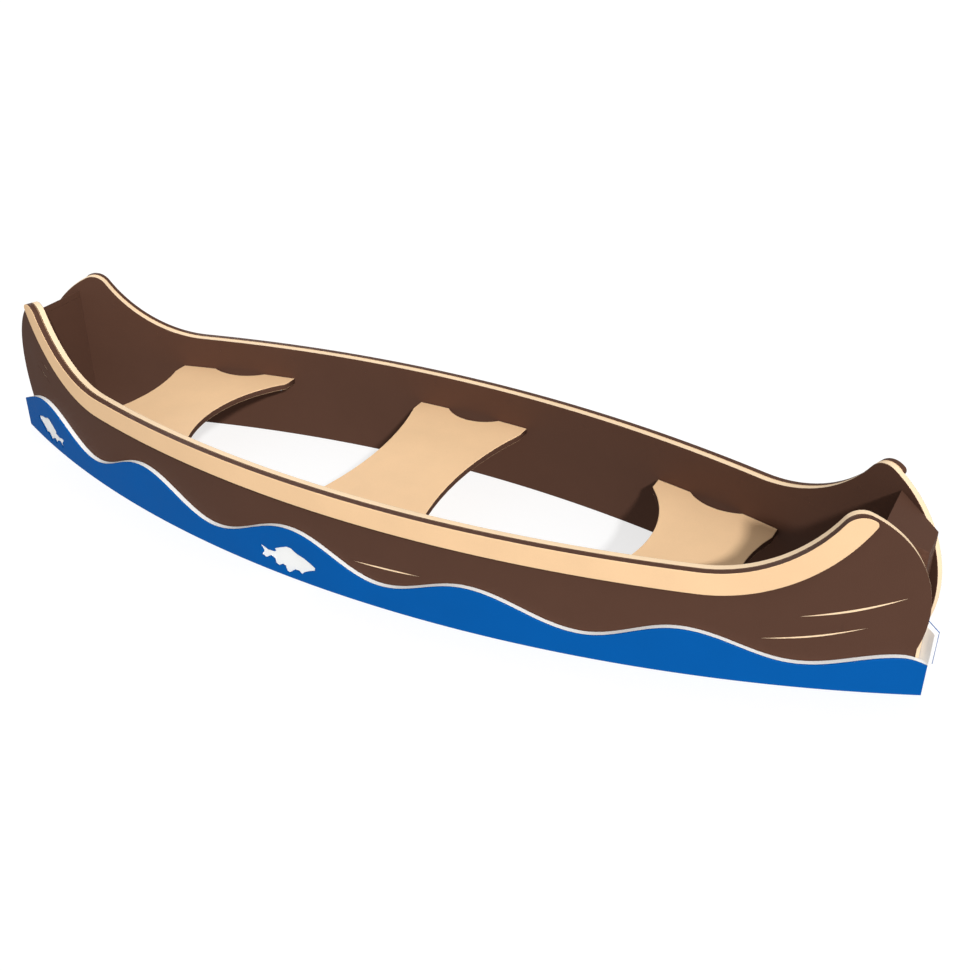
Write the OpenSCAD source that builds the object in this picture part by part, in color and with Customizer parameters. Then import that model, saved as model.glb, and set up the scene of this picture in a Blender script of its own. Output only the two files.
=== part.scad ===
// Static play canoe made of coloured plastic sheet: two bent hull sides with
// rub rails and wave panels, three seats and a closed box at each tip.
// Millimetres. +X is the bow, +Y is port, +Z is up, the ground is z = 0.

/* [Hull] */
// Thickness of every plastic sheet
sheet_t = 19; // [15:1:25]
// Half length of the hull at the nose, over the outer faces
half_length = 1427; // [1180:1:1720]
// Half width of the hull in the middle, over the outer faces
half_beam = 367.5; // [300:0.5:450]
// Half width of the hull at the nose, over the outer faces
tip_half_width = 56.5; // [50:0.5:70]
// Height of the level middle stretch of the sides
sheer_z = 304; // [250:1:370]
// Height of the crest at each end
crest_z = 491; // [460:1:590]
// Distance along the sheet from the nose back to the crest
crest_back = 191; // [160:1:230]
// Radius of the upward sweep of the top edge
sweep_r = 370; // [300:1:450]
// Radius of the crest
crest_r = 47; // [30:1:70]
// Height of the nose, the foremost point of the side
nose_z = 215; // [180:1:260]
// Distance along the sheet from the nose back to the upright foot
foot_back = 17; // [5:1:30]

/* [Rub rails] */
// Height of the rub rail
rail_h = 62; // [50:1:75]
// Radius of the rounded rail ends
rail_end_r = 13; // [10:1:16]

/* [Wave panels] */
// How far the wave panels reach past the nose
wave_past = 19; // [0:1:60]
// Height of the tall crests of the wave
wave_high = 155.5; // [130:0.5:186]
// Height of the low crests of the wave
wave_low = 132.5; // [110:0.5:160]
// Height of the last crest of the wave
wave_last = 107.5; // [95:0.5:130]
// Height of the troughs of the wave
wave_trough = 69; // [57:1:84]
// Depth of the fish cut into the wave panels
fish_depth = 6; // [5:0.5:8]
// Depth of the lines engraved in the sides
engrave_depth = 3; // [1:0.5:5]

/* [Seats] */
// Top of the middle seat and of the stern seat
seat_z = 204; // [170:1:245]
// Top of the bow seat
bow_seat_z = 180; // [150:1:216]
// Half width of the middle seat where it meets the sides
mid_seat_half = 181; // [160:1:215]
// Half width of the middle seat at its waist
mid_waist_half = 137; // [115:1:150]
// Distance from the middle to the centre of each end seat
end_seat_x = 804; // [700:1:900]
// Half width of an end seat where it meets the sides
end_seat_half = 185; // [160:1:200]
// Inset of an end seat's inboard edge at the waist
inboard_waist = 88; // [60:1:100]
// Inset of an end seat's outboard edge at the waist
outboard_waist = 28; // [15:1:45]
// Half length of the finger scallop in each seat end
scallop_half = 87; // [60:1:95]
// Depth of the middle seat's finger scallops
scallop_depth = 40; // [20:1:48]
// Depth of an end seat's finger scallops
end_scallop_depth = 30; // [20:1:36]
// Length of the straight tab at each seat corner
tab_len = 45; // [20:1:60]
// Gap between each seat end and the hull side
seat_gap = 1; // [0.5:0.5:3]

/* [End boxes] */
// Distance from the nose back to the bulkhead's inner face
box_back = 137; // [120:1:180]
// Distance from the nose back to the stem board's outer face
stem_back = 32; // [25:1:45]
// Height of the box at the bulkhead
box_high_z = 444; // [400:1:455]
// Height of the box at the stem board
box_low_z = 384; // [340:1:395]
// Side of the square corner cleats
cleat = 28; // [22:1:32]

/* [Fixings] */
// Diameter of every screw
screw_d = 5; // [4:0.5:6]
// Depth that a screw bites into the last sheet
bite = 12; // [8:1:14]
// Diameter of the flush caps over the sunk screws
cap_d = 14; // [12:1:20]
// Thickness of the flush caps
cap_h = 4; // [3:0.5:5]
// Leg of the seat brackets
bracket_leg = 30; // [26:1:36]
// Length of the seat brackets
bracket_len = 48; // [40:1:58]
// Thickness of the brackets and of the ground anchors
plate_t = 5; // [4:1:6]
// Leg of the ground anchors
anchor_leg = 60; // [50:1:72]
// Width of the ground anchors
anchor_w = 80; // [66:1:96]
// Diameter of the ground bolt hole
anchor_hole_d = 13; // [10:0.5:15]

/* [Hidden] */
$fn = 48;
STARBOARD = -1;
PORT = 1;
BOW = 1;
STERN = -1;
brown = "#583C32";
beige = "#F3CB9B";
blue = "#005AAA";
steel = "#B9BCBE";
eps = 0.01;
// Room behind a flat plate that lies on the slightly hollow inner face
plate_gap = 0.3;
// Segments of the large plan circles
plan_fn = 720;

// Plan arc through the middle and the nose
bow_in = half_beam - tip_half_width;
hull_r = (pow(half_length, 2) + pow(bow_in, 2)) / (2 * bow_in);
inner_r = hull_r - sheet_t;
outer_r = hull_r + sheet_t;
function arc_of(x, r = hull_r) = hull_r * asin(x / r) * PI / 180;
function angle_of(s) = s / hull_r * 180 / PI;
function inner_half(x) = sqrt(pow(inner_r, 2) - pow(x, 2)) - hull_r + half_beam;

// Side outline: level edge, sweep, crest and bow are tangent arcs
nose_s = arc_of(half_length);
crest_s = nose_s - crest_back;
foot_s = nose_s - foot_back;
rise = crest_z - sheer_z;
sweep_s = crest_s - sqrt(2 * rise * (sweep_r + crest_r) - pow(rise, 2));
sweep_c = [sweep_s, sheer_z + sweep_r];
crest_c = [crest_s, crest_z - crest_r];
nose_drop = crest_c[1] - nose_z;
bow_r = (pow(crest_back, 2) + pow(nose_drop, 2) - pow(crest_r, 2)) / (2 * (crest_back - crest_r));
bow_c = [nose_s - bow_r, nose_z];
sweep_end = bearing(sweep_c, crest_c);
crest_end = bearing(bow_c, crest_c);
bow_end = -acos((foot_s - bow_c[0]) / bow_r);
// The level stretch runs straight on to here, under the start of the sweep
level_x = hull_r * sin(angle_of(sweep_s + 25));

// Rail: a band under the top edge that closes in a round end
rail_r = sweep_r + rail_h;
rail_end_c = meet(bow_c, bow_r - rail_end_r, sweep_c, rail_r - rail_end_r);

// Wave outline: cosine swells between these highs and lows
wave_s = arc_of(half_length + wave_past, outer_r);
swell = [
    [-2000, wave_trough], [-1600, wave_trough], [-1302, wave_high], [-1015, wave_trough],
    [-735, wave_high], [-450, wave_trough], [-165, wave_high], [115, wave_trough],
    [365, wave_low], [660, wave_trough], [905, wave_low], [1190, wave_trough],
    [1424, wave_last], [1548, wave_trough], [2000, wave_trough]
];
swell_step = 12;

// End boxes
box_x = half_length - box_back;
stem_x = half_length - stem_back;
deck_tilt = atan((box_high_z - box_low_z) / (stem_x - box_x));
deck_drop = sheet_t / cos(deck_tilt);
stem_cleat_x = stem_x - sheet_t - cleat;
function deck_z(x) = box_high_z - (x - box_x) * tan(deck_tilt);

// Screw places
head_d = 2 * screw_d;
head_h = 3;
sunk_len = sheet_t - cap_h + bite;
cleat_screw_len = cleat + bite;
deck_screw_len = sheet_t - cap_h + 20;
anchor_screw_len = plate_t + bite;
rail_level_s = [for (k = [0.5:1:3.5]) k * 0.27 * sweep_s];
rail_sweep_a = [-68, -44];
rail_screws_end = concat(
    [for (s = rail_level_s) [s, sheer_z - rail_h / 2]],
    [for (a = rail_sweep_a) sweep_c + (sweep_r + rail_h / 2) * [cos(a), sin(a)]]
);
wave_screws = [for (k = [-3:3]) [k * 400, 45]];
seats = [[-end_seat_x, seat_z, end_seat_half], [0, seat_z, mid_seat_half], [end_seat_x, bow_seat_z, end_seat_half]];
function bracket_off(half) = min(scallop_half + 5 + bracket_len / 2, half - bracket_len / 2 - 10);
bracket_screw_off = bracket_len / 3.2;
bracket_screw_drop = bracket_leg * 0.6;
anchor_s = 150;
anchor_screw_z = anchor_leg * 0.66;
anchor_screw_off = anchor_w * 0.28;
anchor_bolt_off = anchor_leg * 0.58;
cleat_side_z = [110, 290];
cleat_board_z = [70, 250];

// ---------- outlines ----------
function bearing(a, b) = atan2(b[1] - a[1], b[0] - a[0]);

function arc(c, r, from, to, steps) =
    [for (i = [0:steps]) let (a = from + (to - from) * i / steps) c + r * [cos(a), sin(a)]];

// Right-hand crossing of two circles
function meet(a, ra, b, rb) =
    let (
        gap = norm(b - a),
        along = (pow(ra, 2) - pow(rb, 2) + pow(gap, 2)) / (2 * gap),
        off = sqrt(pow(ra, 2) - pow(along, 2)),
        dir = (b - a) / gap
    )
    a + along * dir + off * [dir[1], -dir[0]];

function swell_z(s) =
    let (
        k = max([for (i = [0:len(swell) - 2]) if (swell[i][0] <= s) i]),
        a = swell[k],
        b = swell[k + 1],
        t = (s - a[0]) / (b[0] - a[0])
    )
    a[1] + (b[1] - a[1]) * (1 - cos(180 * t)) / 2;

// The same outline, its first point moved back in line with the second
function run_up(points) =
    let (step = points[1] - points[0])
    [for (i = [0:len(points) - 1]) points[i] - (i == 0 ? 15 * step / norm(step) : [0, 0])];

// Outline of one end of a side, in distance along the sheet and height
function side_end() =
    let (sweep = run_up(arc(sweep_c, sweep_r, -90, sweep_end, 14)))
    concat(
        [[sweep[0][0], -1]],
        sweep,
        arc(crest_c, crest_r, 180 + sweep_end, crest_end, 10),
        arc(bow_c, bow_r, crest_end, bow_end, 18),
        [[foot_s, -1]]
    );

// Outline of all that lies under and ahead of one end of a rail
function under_rail_end() =
    let (
        top = bearing(bow_c, rail_end_c),
        under = bearing(sweep_c, rail_end_c),
        sweep = run_up(arc(sweep_c, rail_r, -90, under, 16))
    )
    concat(
        [[sweep[0][0], -2]],
        sweep,
        arc(rail_end_c, rail_end_r, under, top, 8),
        [[nose_s + 100, crest_z], [nose_s + 100, -2]]
    );

// Fish silhouette, nose at +x, about 188 long
fish = [
    [94, 4], [92, -7], [72, -15], [54, -25], [44, -34], [36, -27], [22, -27], [2, -44], [-6, -42],
    [-10, -27], [-20, -24], [-34, -33], [-43, -29], [-46, -15], [-60, -10], [-78, -22], [-91, -17],
    [-82, -2], [-94, 15], [-86, 18], [-64, 10], [-40, 12], [-44, 20], [-22, 31], [2, 42],
    [16, 42], [36, 30], [58, 24], [78, 14]
];

// Slender line that tapers to both ends, bowed like an arc
function stroke(from, to, bow, width) =
    let (
        steps = 14,
        run = to - from,
        across = [-run[1], run[0]] / norm(run)
    )
    concat(
        [for (i = [0:steps]) let (t = i / steps)
            from + run * t + across * (bow * sin(180 * t) + width / 2 * sin(180 * t))],
        [for (i = [steps - 1:-1:1]) let (t = i / steps)
            from + run * t + across * (bow * sin(180 * t) - width / 2 * sin(180 * t))]
    );

// ---------- placing ----------
// The starboard bow quarter is the pattern: the others are its mirror images
module quarter(side, end) {
    mirror([end == STERN ? 1 : 0, 0, 0])
        mirror([0, side == PORT ? 1 : 0, 0])
            children();
}

// Cuts an outline of sheet distance and height square through the bent sheet,
// exactly at the distance s_mid and nearly so for 300 either way
module through_sheet(s_mid) {
    translate([0, hull_r - half_beam, 0])
        rotate([0, 0, angle_of(s_mid)])
            translate([-s_mid, -inner_r + 3 * sheet_t, 0])
                rotate([90, 0, 0])
                    linear_extrude(6 * sheet_t)
                        children();
}

// Local axes on a side's face of radius r: x up, y along the sheet, z inwards
module on_side(side, s, z, r) {
    translate([0, side * (half_beam - hull_r), z])
        rotate([0, 0, side * (90 - angle_of(s))])
            translate([r, 0, 0])
                rotate([0, -90, 0])
                    children();
}

// Bent sheet between two plan radii
module bent_wall(side, r_in, r_out, height) {
    intersection() {
        translate([0, side * (half_beam - hull_r), 0])
            linear_extrude(height)
                difference() {
                    circle(r_out, $fn = plan_fn);
                    circle(r_in, $fn = plan_fn);
                }
        translate([-2 * half_length, side == PORT ? 0 : -2 * half_beam, -1])
            cube([4 * half_length, 2 * half_beam, height + 2]);
    }
}

// Plan of the space between the sides
module inside(gap) {
    intersection_for(side = [STARBOARD, PORT])
        translate([0, side * (half_beam - hull_r)])
            circle(inner_r - gap, $fn = plan_fn);
}

// ---------- fixings ----------
// Countersunk screw, its head face at z = 0, pointing down
module sunk_screw(length) {
    rotate_extrude()
        polygon([
            [0, 0], [head_d / 2, 0], [screw_d / 2, -head_h],
            [screw_d / 2, -length], [0, -length]
        ]);
}

// Pan-head screw, its shank below z = 0
module pan_screw(length) {
    cylinder(h = head_h, d = head_d);
    translate([0, 0, -length])
        cylinder(h = length + eps, d = screw_d);
}

// The same screw sunk below a flush cap
module capped_screw(length) {
    translate([0, 0, -cap_h])
        sunk_screw(length);
}

module cap() {
    translate([0, 0, -cap_h])
        cylinder(h = cap_h, d = cap_d);
}

module sunk_hole(length) {
    capped_screw(length);
    cap();
}

// The port side carries the starboard side's pattern turned end for end
module half_turn(side) {
    rotate([0, 0, side == PORT ? 180 : 0])
        children();
}

module at_rail_screws(side) {
    for (end = [BOW, STERN])
        quarter(side, end)
            for (p = rail_screws_end)
                on_side(STARBOARD, p[0], p[1], inner_r)
                    children();
}

module at_wave_screws(side) {
    for (p = wave_screws)
        on_side(side, p[0], p[1], inner_r)
            children();
}

module at_brackets(side, seat) {
    for (end = [-1, 1])
        on_side(side, arc_of(seat[0] + end * bracket_off(seat[2]), inner_r), seat[1] - sheet_t, inner_r)
            children();
}

module at_bracket_side_screws(side, seat) {
    at_brackets(side, seat)
        for (k = [-1, 1])
            translate([-bracket_screw_drop, k * bracket_screw_off, plate_gap + plate_t])
                children();
}

module at_bracket_seat_screws(side, seat) {
    at_brackets(side, seat)
        for (k = [-1, 1])
            translate([-plate_t, k * bracket_screw_off, bracket_screw_drop])
                rotate([0, -90, 0])
                    children();
}

// Where a screw square to the side meets it after the middle of its cleat
function cleat_screw_x(x) = x + cleat / 2 * (1 + x / inner_r);

// Screws from a cleat into the side
module at_cleat_side_screws(side, end) {
    quarter(side, end)
        for (x = [box_x + sheet_t, stem_cleat_x])
            for (z = cleat_side_z)
                on_side(STARBOARD, arc_of(cleat_screw_x(x), inner_r), z, inner_r - cleat)
                    children();
}

// Screws from a cleat into the bulkhead and into the stem board
module at_cleat_board_screws(side, end) {
    quarter(side, end)
        for (z = cleat_board_z) {
            translate([box_x + sheet_t + cleat, cleat_mid_y(box_x + sheet_t), z])
                rotate([0, 90, 0])
                    children();
            translate([stem_cleat_x, cleat_mid_y(stem_cleat_x), z])
                rotate([0, -90, 0])
                    children();
        }
}

function cleat_mid_y(x) = 0.6 * cleat - inner_half(x + cleat / 2);

// Screws square through the deck into the cleats
module at_deck_screws(side, end) {
    shift = sheet_t * sin(deck_tilt) + cleat / 2 + 8;
    quarter(side, end)
        for (x = [box_x + sheet_t, stem_cleat_x])
            translate([x + shift, cleat_mid_y(x), deck_z(x + shift)])
                rotate([0, deck_tilt, 0])
                    children();
}

module at_anchors() {
    on_side(PORT, -anchor_s, 0, inner_r - plate_gap)
        children();
    on_side(STARBOARD, anchor_s, 0, inner_r - plate_gap)
        children();
    for (end = [BOW, STERN])
        mirror([end == STERN ? 1 : 0, 0, 0])
            translate([box_x, 0, 0])
                rotate([0, -90, 0])
                    children();
}

module at_anchor_screws() {
    at_anchors()
        for (k = [-1, 1])
            translate([anchor_screw_z, k * anchor_screw_off, plate_t])
                children();
}

// ---------- hull sides, rails and waves ----------
// Level middle and the two shaped ends of a side
module with_ends(side, low_z, high_z) {
    translate([-level_x, -2 * half_beam, low_z])
        cube([2 * level_x, 4 * half_beam, high_z - low_z]);
    for (end = [BOW, STERN])
        quarter(side, end)
            through_sheet(crest_s)
                children();
}

// Tapered lines near both ends and one amidships, cut to the core
module engraved_lines() {
    intersection() {
        bent_wall(STARBOARD, hull_r - engrave_depth, outer_r, crest_z);
        for (line = [
            [1290, [1165, 194], [1427, 274], -9, 7],
            [1215, [1080, 121], [1350, 183], -9, 6],
            [130, [19, 111], [240, 122], -1, 6],
            [-1285, [-1315, 290], [-1252, 260], 2, 4],
            [-1305, [-1352, 264], [-1260, 221], 3, 4]
        ])
            through_sheet(line[0])
                polygon(stroke(line[1], line[2], line[3], line[4]));
    }
}

module hull_side(side) {
    color(brown)
        difference() {
            intersection() {
                bent_wall(side, inner_r, hull_r, crest_z + 1);
                with_ends(side, -1, sheer_z)
                    polygon(side_end());
            }
            half_turn(side)
                engraved_lines();
            at_rail_screws(side)
                sunk_hole(sunk_len);
            at_wave_screws(side)
                sunk_hole(sunk_len);
            for (seat = seats)
                at_bracket_side_screws(side, seat)
                    pan_screw(plate_gap + plate_t + bite);
            for (end = [BOW, STERN])
                at_cleat_side_screws(side, end)
                    pan_screw(cleat_screw_len);
            at_anchor_screws()
                pan_screw(anchor_screw_len);
        }
}

module rail(side) {
    color(beige)
        difference() {
            intersection() {
                bent_wall(side, hull_r, outer_r, crest_z + 1);
                with_ends(side, -1, sheer_z)
                    polygon(side_end());
            }
            with_ends(side, -2, sheer_z - rail_h)
                polygon(under_rail_end());
            at_rail_screws(side)
                capped_screw(sunk_len);
        }
}

// The starboard wave panel, whose twin is the same panel turned end for end
module wave(side) {
    end_s = wave_s + 2 * swell_step;
    color(blue)
        difference() {
            half_turn(side)
                difference() {
                    intersection() {
                        bent_wall(STARBOARD, hull_r, outer_r, wave_high + 1);
                        rotate([90, 0, 0])
                            linear_extrude(2 * half_beam)
                                polygon(concat(
                                    [for (s = [-end_s:swell_step:end_s]) [outer_r * sin(angle_of(s)), swell_z(s)]],
                                    [[outer_r * sin(angle_of(end_s)), 0], [-outer_r * sin(angle_of(end_s)), 0]]
                                ));
                    }
                    for (end = [BOW, STERN])
                        quarter(STARBOARD, end)
                            through_sheet(wave_s)
                                translate([wave_s, -1])
                                    square([10 * sheet_t, wave_high + 2]);
                    intersection() {
                        bent_wall(STARBOARD, outer_r - fish_depth, outer_r + 1, wave_high);
                        union() {
                            through_sheet(-175)
                                translate([-175, 57.5])
                                    polygon(fish);
                            through_sheet(-1291)
                                translate([-1291, 58])
                                    rotate([0, 0, -9])
                                        mirror([1, 0])
                                            scale(0.95)
                                                polygon(fish);
                        }
                    }
                }
            at_wave_screws(side)
                capped_screw(sunk_len);
        }
}

// ---------- seats ----------
// Seat between two edges that are scooped in by the given insets
module seat(x, half, top_z, fore_inset, aft_inset, scallop) {
    color(beige)
        difference() {
            translate([0, 0, top_z - sheet_t])
                linear_extrude(sheet_t)
                    difference() {
                        intersection() {
                            inside(seat_gap);
                            translate([x - half, -half_beam])
                                square([2 * half, 2 * half_beam]);
                        }
                        edge_scoop(x + half, fore_inset, 1);
                        edge_scoop(x - half, aft_inset, -1);
                        for (side = [STARBOARD, PORT])
                            end_scallop(x, side, scallop);
                    }
            for (side = [STARBOARD, PORT])
                at_bracket_seat_screws(side, [x, top_z, half])
                    pan_screw(plate_t + bite);
        }
}

module middle_seat() {
    inset = mid_seat_half - mid_waist_half;
    seat(0, mid_seat_half, seat_z, inset, inset, scallop_depth);
}

module end_seat(end) {
    at_bow = end == BOW;
    seat(
        end * end_seat_x, end_seat_half, at_bow ? bow_seat_z : seat_z,
        at_bow ? outboard_waist : inboard_waist,
        at_bow ? inboard_waist : outboard_waist,
        end_scallop_depth
    );
}

// Shallow arc cut out of a seat's long edge, leaving a square tab at each end
module edge_scoop(edge_x, inset, dir) {
    reach = inner_half(edge_x) - tab_len;
    r = (pow(reach, 2) + pow(inset, 2)) / (2 * inset);
    translate([edge_x + dir * (r - inset), 0])
        circle(r, $fn = 360);
}

module end_scallop(x, side, depth) {
    r = (pow(scallop_half, 2) + pow(depth, 2)) / (2 * depth);
    slope = angle_of(arc_of(x, inner_r));
    translate([0, side * (half_beam - hull_r)])
        rotate([0, 0, side * (90 - slope)])
            translate([inner_r - depth + r, 0])
                circle(r, $fn = 96);
}

// ---------- end boxes ----------
// Everything on one side of the sloping top of a box, lowered by drop
module under_deck(drop) {
    translate([0, half_beam, 0])
        rotate([90, 0, 0])
            linear_extrude(2 * half_beam)
                polygon([
                    [box_x - 60, 0], [half_length, 0],
                    [half_length, deck_z(half_length) - drop], [box_x - 60, deck_z(box_x - 60) - drop]
                ]);
}

module box_plan(x0, x1) {
    intersection() {
        inside(0);
        translate([x0, -half_beam])
            square([x1 - x0, 2 * half_beam]);
    }
}

module bulkhead(end) {
    color(brown)
        difference() {
            mirror([end == STERN ? 1 : 0, 0, 0])
                intersection() {
                    linear_extrude(crest_z)
                        box_plan(box_x, box_x + sheet_t);
                    under_deck(deck_drop);
                }
            for (side = [STARBOARD, PORT])
                at_cleat_board_screws(side, end)
                    pan_screw(cleat_screw_len);
            at_anchor_screws()
                pan_screw(anchor_screw_len);
        }
}

module deck(end) {
    color(brown)
        difference() {
            mirror([end == STERN ? 1 : 0, 0, 0])
                difference() {
                    intersection() {
                        linear_extrude(crest_z)
                            box_plan(box_x, stem_x);
                        under_deck(0);
                    }
                    under_deck(deck_drop);
                }
            for (side = [STARBOARD, PORT])
                at_deck_screws(side, end)
                    sunk_hole(deck_screw_len);
        }
}

module stem_board(end) {
    color(brown)
        difference() {
            mirror([end == STERN ? 1 : 0, 0, 0])
                intersection() {
                    linear_extrude(crest_z)
                        box_plan(stem_x - sheet_t, stem_x);
                    under_deck(deck_drop);
                }
            for (side = [STARBOARD, PORT])
                at_cleat_board_screws(side, end)
                    pan_screw(cleat_screw_len);
        }
}

module cleats(end) {
    color(brown)
        difference() {
            for (side = [STARBOARD, PORT])
                quarter(side, end)
                    intersection() {
                        bent_wall(STARBOARD, inner_r - cleat, inner_r, crest_z);
                        for (x = [box_x + sheet_t, stem_cleat_x])
                            translate([x, -2 * half_beam, 0])
                                cube([cleat, 2 * half_beam, crest_z]);
                        under_deck(deck_drop);
                    }
            for (side = [STARBOARD, PORT]) {
                at_cleat_side_screws(side, end)
                    pan_screw(cleat_screw_len);
                at_cleat_board_screws(side, end)
                    pan_screw(cleat_screw_len);
                at_deck_screws(side, end)
                    capped_screw(deck_screw_len);
            }
        }
}

// ---------- brackets and anchors ----------
// Angle plate with one leg up the x axis and the other along z
module angle_plate(leg, wide) {
    rotate([90, 0, 0])
        translate([0, 0, -wide / 2])
            linear_extrude(wide)
                polygon([
                    [0, 0], [leg, 0], [leg, plate_t], [1.6 * plate_t, plate_t],
                    [plate_t, 1.6 * plate_t], [plate_t, leg], [0, leg]
                ]);
}

module seat_brackets(seat) {
    color(steel)
        for (side = [STARBOARD, PORT])
            difference() {
                at_brackets(side, seat)
                    translate([0, 0, plate_gap])
                        mirror([1, 0, 0])
                            angle_plate(bracket_leg, bracket_len);
                at_bracket_side_screws(side, seat)
                    pan_screw(plate_gap + plate_t + bite);
                at_bracket_seat_screws(side, seat)
                    pan_screw(plate_t + bite);
            }
}

module ground_anchors() {
    color(steel)
        difference() {
            at_anchors()
                angle_plate(anchor_leg, anchor_w);
            at_anchors()
                translate([-1, 0, anchor_bolt_off])
                    rotate([0, 90, 0])
                        cylinder(h = plate_t + 2, d = anchor_hole_d);
            at_anchor_screws()
                pan_screw(anchor_screw_len);
        }
}

// ---------- screws and caps ----------
module rail_screws() {
    color(steel)
        for (side = [STARBOARD, PORT])
            at_rail_screws(side)
                capped_screw(sunk_len);
}

module wave_screws() {
    color(steel)
        for (side = [STARBOARD, PORT])
            at_wave_screws(side)
                capped_screw(sunk_len);
}

module rail_screw_caps() {
    color(brown)
        for (side = [STARBOARD, PORT])
            at_rail_screws(side)
                cap();
}

module wave_screw_caps() {
    color(brown)
        for (side = [STARBOARD, PORT])
            at_wave_screws(side)
                cap();
}

module bracket_side_screws() {
    color(steel)
        for (side = [STARBOARD, PORT], seat = seats)
            at_bracket_side_screws(side, seat)
                pan_screw(plate_gap + plate_t + bite);
}

module bracket_seat_screws() {
    color(steel)
        for (side = [STARBOARD, PORT], seat = seats)
            at_bracket_seat_screws(side, seat)
                pan_screw(plate_t + bite);
}

module cleat_screws() {
    color(steel)
        for (side = [STARBOARD, PORT], end = [BOW, STERN]) {
            at_cleat_side_screws(side, end)
                pan_screw(cleat_screw_len);
            at_cleat_board_screws(side, end)
                pan_screw(cleat_screw_len);
        }
}

module deck_screws() {
    color(steel)
        for (side = [STARBOARD, PORT], end = [BOW, STERN])
            at_deck_screws(side, end)
                capped_screw(deck_screw_len);
}

module deck_screw_caps() {
    color(brown)
        for (side = [STARBOARD, PORT], end = [BOW, STERN])
            at_deck_screws(side, end)
                cap();
}

module anchor_screws() {
    color(steel)
        at_anchor_screws()
            pan_screw(anchor_screw_len);
}

hull_side(STARBOARD);  // starboard_side
hull_side(PORT);  // port_side
rail(STARBOARD);  // starboard_rail
rail(PORT);  // port_rail
wave(STARBOARD);  // starboard_wave
wave(PORT);  // port_wave
end_seat(STERN);  // stern_seat
middle_seat();
end_seat(BOW);  // bow_seat
bulkhead(BOW);  // bow_bulkhead
deck(BOW);  // bow_deck
stem_board(BOW);  // bow_stem_board
bulkhead(STERN);  // stern_bulkhead
deck(STERN);  // stern_deck
stem_board(STERN);  // stern_stem_board
cleats(BOW);  // bow_cleats
cleats(STERN);  // stern_cleats
seat_brackets(seats[0]);  // stern_seat_brackets
seat_brackets(seats[1]);  // middle_seat_brackets
seat_brackets(seats[2]);  // bow_seat_brackets
ground_anchors();
rail_screws();
wave_screws();
rail_screw_caps();
wave_screw_caps();
bracket_side_screws();
bracket_seat_screws();
cleat_screws();
deck_screws();
deck_screw_caps();
anchor_screws();
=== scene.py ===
"""Shown pieces, finishes and stage of a sheet-plastic play canoe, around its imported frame."""

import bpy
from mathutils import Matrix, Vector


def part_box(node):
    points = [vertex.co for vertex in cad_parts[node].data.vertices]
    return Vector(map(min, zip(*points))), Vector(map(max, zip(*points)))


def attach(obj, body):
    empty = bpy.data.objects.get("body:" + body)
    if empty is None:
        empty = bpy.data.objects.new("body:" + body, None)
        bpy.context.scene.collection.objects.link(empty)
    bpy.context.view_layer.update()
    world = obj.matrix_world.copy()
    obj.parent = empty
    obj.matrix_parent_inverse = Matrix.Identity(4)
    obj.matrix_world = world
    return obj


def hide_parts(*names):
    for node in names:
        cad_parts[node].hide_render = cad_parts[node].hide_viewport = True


bl_info = {
    "name": "Play canoe",
    "version": (1, 0, 0),
    "blender": (4, 5, 0),
    "location": "3D View > Sidebar > Canoe",
    "description": "Builds a play canoe of bent two-colour sheet",
    "category": "Add Mesh",
}

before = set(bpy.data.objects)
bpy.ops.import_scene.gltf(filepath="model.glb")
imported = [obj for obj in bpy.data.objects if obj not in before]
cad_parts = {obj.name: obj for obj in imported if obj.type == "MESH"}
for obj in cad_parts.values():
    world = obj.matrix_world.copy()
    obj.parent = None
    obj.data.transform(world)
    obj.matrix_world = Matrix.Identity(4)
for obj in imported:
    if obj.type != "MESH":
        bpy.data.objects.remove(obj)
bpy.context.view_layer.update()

import math

import bmesh
import bpy
from bpy.props import (
    FloatProperty,
    FloatVectorProperty,
    PointerProperty,
    StringProperty,
)
from bpy.types import Operator, Panel, PropertyGroup
from mathutils import Matrix, Vector

BODY = "root"
HALF_TURN = Matrix.Rotation(math.pi, 4, "Z")
ENDS = {"bow": 1, "stern": -1}

# What the attribute "cut" says of a face
SKIN, ARRIS, CUT_EDGE = 0.0, 0.5, 1.0
# Limits of how upright a face's normal is: flat faces, their rims and cut edges
FLAT_SLOPE, RIM_SLOPE, EDGE_SLOPE = 0.97, 0.9, 0.3
# Points nearer than this are one, and points nearer than that to a cut lie on it
MERGE, SNAP = 1e-5, 1e-6
# How far a cutter reaches past the face that it cuts
CLEAR = 0.01
# Turn of each step along an arc: side outlines, small arcs, seat ends and box walls
WIDE_STEP, SMALL_STEP, WALL_STEP, BOX_STEP = math.radians(3), math.radians(6), 0.01, 0.004


def length(name, description, default):
    """A size that the panel shows as a length."""
    return FloatProperty(
        name=name, description=description, default=default, unit="LENGTH", precision=4
    )


def angle(name, description, degrees):
    """An angle that the panel shows in degrees."""
    return FloatProperty(
        name=name, description=description, default=math.radians(degrees), subtype="ANGLE"
    )


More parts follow.
